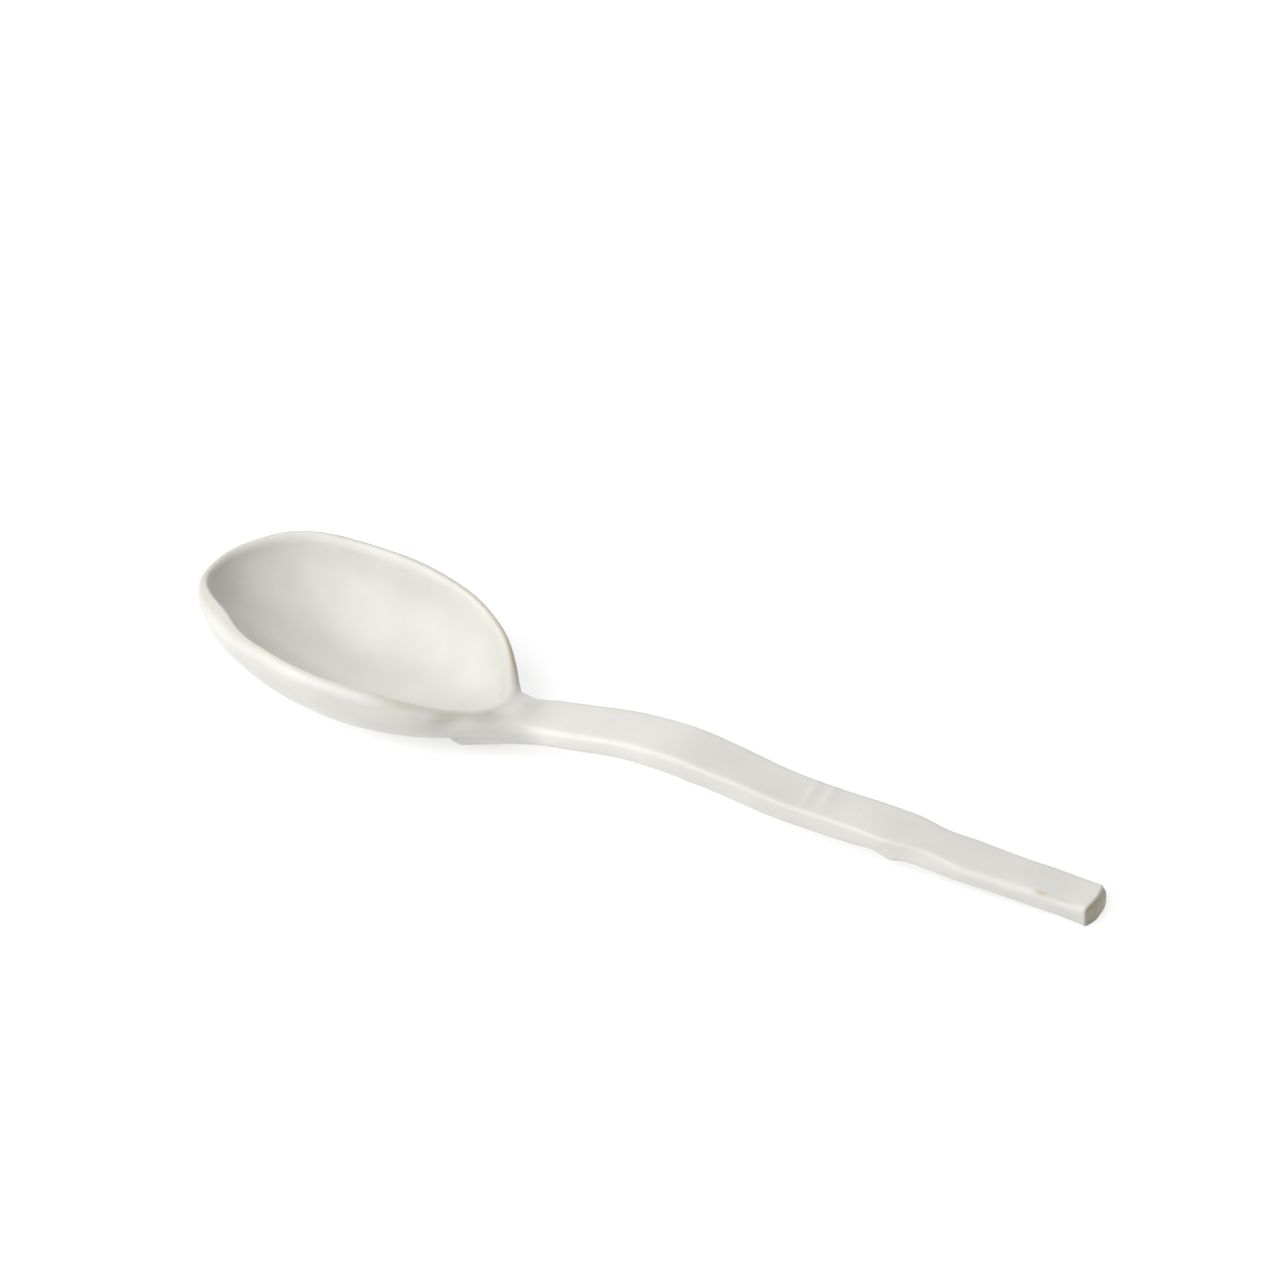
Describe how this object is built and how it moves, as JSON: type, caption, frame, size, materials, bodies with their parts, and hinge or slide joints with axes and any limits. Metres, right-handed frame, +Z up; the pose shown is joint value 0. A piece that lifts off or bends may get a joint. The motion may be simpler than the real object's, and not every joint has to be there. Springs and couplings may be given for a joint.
{
  "type": "serving spoon",
  "caption": "Hand-built glazed ceramic serving spoon: egg-shaped pinched bowl, low-arched strip handle with softened edges, smoothed clay joint at the neck.",
  "frame": {"origin": "middle of the flattened foot under the bowl, on the surface that the spoon rests on", "axes": "+X along the spoon from the bowl to the handle's end, +Y across it, +Z up out of the bowl"},
  "size_m": [0.2508, 0.0581, 0.0323],
  "materials": {
    "satin_glaze": "satin-matt off-white glaze, breaking to beige on the rim and edges, with a few fine iron specks"
  },
  "bodies": {
    "root": {"bowl": "satin_glaze", "neck": "satin_glaze", "handle": "satin_glaze"}
  },
  "joints": []
}
